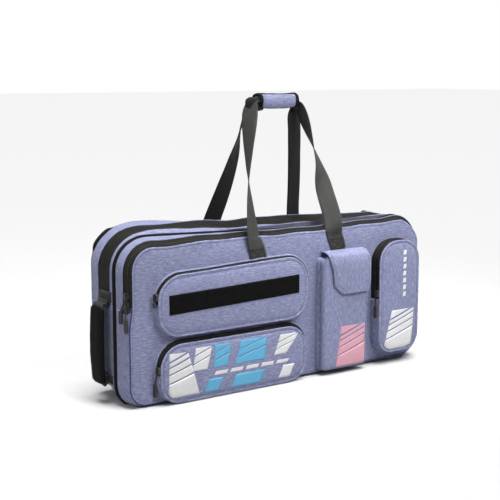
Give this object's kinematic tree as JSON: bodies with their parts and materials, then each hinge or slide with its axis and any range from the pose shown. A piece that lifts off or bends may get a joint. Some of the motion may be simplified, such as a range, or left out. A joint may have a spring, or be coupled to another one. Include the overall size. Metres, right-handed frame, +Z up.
{
  "type": "racket tournament bag",
  "caption": "Rectangular two-compartment racket bag with zipped outer pockets, a flap pocket, twin webbing handles joined by a grip and a padded side handle.",
  "frame": {"origin": "middle of the flat base that the bag stands on", "axes": "+X along the bag's length, to the right seen from the front; +Y from the pocketed front to the plain back; +Z up"},
  "size_m": [0.79, 0.1942, 0.599],
  "materials": {
    "melange_fabric": "heathered blue-grey polyester canvas",
    "zip_tape": "coated black reverse-coil zip tape",
    "black_piping": "black welt piping",
    "black_webbing": "ribbed black polypropylene webbing",
    "black_padding": "smooth black padded sleeve",
    "lining": "plain padded lining",
    "board": "matt stiffening board",
    "hook_and_loop": "black brushed loop and hook tape",
    "slider_metal": "black enamelled zinc",
    "pull_rubber": "moulded matt rubber"
  },
  "bodies": {
    "bag": {"front_gusset_lower": "melange_fabric", "front_gusset_upper": "melange_fabric", "front_zip_bag_tape": "zip_tape", "divider_panel": "lining", "divider_piping": "black_piping", "rear_gusset_lower": "melange_fabric", "rear_gusset_front_upper": "melange_fabric", "rear_zip_bag_tape": "zip_tape", "base_board": "board", "side_handle_tacks": "black_webbing"},
    "front_lid": {"front_panel": "melange_fabric", "front_zip_lid_tape": "zip_tape", "front_strap_patches": "black_webbing", "upper_pocket_gusset": "melange_fabric", "upper_pocket_zip_tape": "zip_tape", "lower_pocket_gusset": "melange_fabric", "lower_pocket_zip_tape": "zip_tape", "end_pocket_gusset": "melange_fabric", "end_pocket_zip_tape": "zip_tape", "middle_pocket": "melange_fabric", "flap_loop_patch": "hook_and_loop"},
    "back_lid": {"back_panel": "melange_fabric", "back_panel_piping": "black_piping", "rear_gusset_back_upper": "melange_fabric", "rear_zip_lid_tape": "zip_tape", "rear_strap_patches": "black_webbing"},
    "upper_pocket_lid": {"upper_pocket_face": "melange_fabric", "upper_pocket_piping": "melange_fabric", "loop_strip": "hook_and_loop"},
    "lower_pocket_lid": {"lower_pocket_face": "melange_fabric", "lower_pocket_piping": "melange_fabric"},
    "end_pocket_lid": {"end_pocket_face": "melange_fabric", "end_pocket_piping": "melange_fabric"},
    "flap": {"pocket_flap": "melange_fabric", "flap_hook_patch": "hook_and_loop"},
    "front_handle": {"front_handle_webbing": "black_webbing", "grip_wrap": "melange_fabric"},
    "rear_handle": {"rear_handle_webbing": "black_webbing"},
    "side_handle": {"side_handle_webbing": "black_webbing", "side_handle_pad": "black_padding"},
    "front_zip_upper_slider": {"front_zip_upper_slider": "slider_metal"},
    "front_zip_upper_pull": {"front_zip_upper_pull": "pull_rubber"},
    "front_zip_lower_slider": {"front_zip_lower_slider": "slider_metal"},
    "front_zip_lower_pull": {"front_zip_lower_pull": "pull_rubber"},
    "rear_zip_upper_slider": {"rear_zip_upper_slider": "slider_metal"},
    "rear_zip_upper_pull": {"rear_zip_upper_pull": "pull_rubber"},
    "rear_zip_lower_slider": {"rear_zip_lower_slider": "slider_metal"},
    "rear_zip_lower_pull": {"rear_zip_lower_pull": "pull_rubber"},
    "upper_pocket_slider": {"upper_pocket_slider": "slider_metal"},
    "upper_pocket_pull": {"upper_pocket_pull": "pull_rubber"},
    "lower_pocket_slider": {"lower_pocket_slider": "slider_metal"},
    "lower_pocket_pull": {"lower_pocket_pull": "pull_rubber"},
    "end_pocket_slider": {"end_pocket_slider": "slider_metal"},
    "end_pocket_pull": {"end_pocket_pull": "pull_rubber"}
  },
  "joints": [
    {"name": "front_lid_fold", "type": "hinge", "parent": "bag", "child": "front_lid", "pos_m": [0, -0.074, 0.002], "axis": [1, 0, 0], "range_deg": [0, 12]},
    {"name": "back_lid_fold", "type": "hinge", "parent": "bag", "child": "back_lid", "pos_m": [0, 0.072, 0], "axis": [-1, 0, 0], "range_deg": [0, 12]},
    {"name": "upper_pocket_fold", "type": "hinge", "parent": "front_lid", "child": "upper_pocket_lid", "pos_m": [0, -0.09, 0.134], "axis": [1, 0, 0], "range_deg": [0, 25]},
    {"name": "lower_pocket_fold", "type": "hinge", "parent": "front_lid", "child": "lower_pocket_lid", "pos_m": [0, -0.092, 0.002], "axis": [1, 0, 0], "range_deg": [0, 25]},
    {"name": "end_pocket_fold", "type": "hinge", "parent": "front_lid", "child": "end_pocket_lid", "pos_m": [0, -0.1, 0.026], "axis": [1, 0, 0], "range_deg": [0, 12]},
    {"name": "flap_lift", "type": "hinge", "parent": "front_lid", "child": "flap", "pos_m": [0, -0.082, 0.266], "axis": [-1, 0, 0], "range_deg": [0, 80]},
    {"name": "front_handle_swing", "type": "hinge", "parent": "front_lid", "child": "front_handle", "pos_m": [0, -0.084, 0.293], "axis": [-1, 0, 0], "range_deg": [-125, 0]},
    {"name": "rear_handle_swing", "type": "hinge", "parent": "back_lid", "child": "rear_handle", "pos_m": [0, 0.086, 0.293], "axis": [1, 0, 0], "range_deg": [-175, 0]},
    {"name": "side_handle_swing", "type": "hinge", "parent": "bag", "child": "side_handle", "pos_m": [-0.379, 0.004, 0.118], "axis": [0, 0, 1], "range_deg": [-15, 15]},
    {"name": "front_zip_upper_slide", "type": "slide", "parent": "bag", "child": "front_zip_upper_slider", "axis": [0, 0, 1], "range_m": [0, 0.032]},
    {"name": "front_zip_upper_pull_swing", "type": "hinge", "parent": "front_zip_upper_slider", "child": "front_zip_upper_pull", "pos_m": [-0.37513, -0.07282, 0.222], "axis": [-0.4472, 0.8944, 0], "range_deg": [0, 150]},
    {"name": "front_zip_lower_slide", "type": "slide", "parent": "bag", "child": "front_zip_lower_slider", "axis": [0, 0, 1], "range_m": [0, 0.016]},
    {"name": "front_zip_lower_pull_swing", "type": "hinge", "parent": "front_zip_lower_slider", "child": "front_zip_lower_pull", "pos_m": [-0.37513, -0.07282, 0.205], "axis": [-0.4472, 0.8944, 0], "range_deg": [0, 150]},
    {"name": "rear_zip_upper_slide", "type": "slide", "parent": "bag", "child": "rear_zip_upper_slider", "axis": [0, 0, 1], "range_m": [0, 0.032]},
    {"name": "rear_zip_upper_pull_swing", "type": "hinge", "parent": "rear_zip_upper_slider", "child": "rear_zip_upper_pull", "pos_m": [0.3808, 0.01, 0.222], "axis": [0, -1, 0], "range_deg": [0, 150]},
    {"name": "rear_zip_lower_slide", "type": "slide", "parent": "bag", "child": "rear_zip_lower_slider", "axis": [0, 0, 1], "range_m": [0, 0.016]},
    {"name": "rear_zip_lower_pull_swing", "type": "hinge", "parent": "rear_zip_lower_slider", "child": "rear_zip_lower_pull", "pos_m": [0.3808, 0.01, 0.205], "axis": [0, -1, 0], "range_deg": [0, 150]},
    {"name": "upper_pocket_slider_turn", "type": "hinge", "parent": "front_lid", "child": "upper_pocket_slider", "pos_m": [-0.262, -0.0865, 0.218], "axis": [0, 1, 0], "range_deg": [0, 90]},
    {"name": "upper_pocket_pull_swing", "type": "hinge", "parent": "upper_pocket_slider", "child": "upper_pocket_pull", "pos_m": [-0.3203, -0.0865, 0.216], "axis": [0, 1, 0], "range_deg": [0, 150]},
    {"name": "lower_pocket_slider_turn", "type": "hinge", "parent": "front_lid", "child": "lower_pocket_slider", "pos_m": [-0.264, -0.0885, 0.072], "axis": [0, 1, 0], "range_deg": [0, 30]},
    {"name": "lower_pocket_pull_swing", "type": "hinge", "parent": "lower_pocket_slider", "child": "lower_pocket_pull", "pos_m": [-0.3183, -0.0885, 0.072], "axis": [0, 1, 0], "range_deg": [0, 150]},
    {"name": "end_pocket_slide", "type": "slide", "parent": "front_lid", "child": "end_pocket_slider", "axis": [0, 0, 1], "range_m": [0, 0.04]},
    {"name": "end_pocket_pull_swing", "type": "hinge", "parent": "end_pocket_slider", "child": "end_pocket_pull", "pos_m": [0.2317, -0.0965, 0.162], "axis": [0, 1, 0], "range_deg": [0, 15]}
  ],
  "couplings": [
    {"joint": "front_zip_lower_slide", "follows": "front_zip_upper_slide", "ratio": 0.5},
    {"joint": "rear_zip_lower_slide", "follows": "rear_zip_upper_slide", "ratio": 0.5}
  ]
}
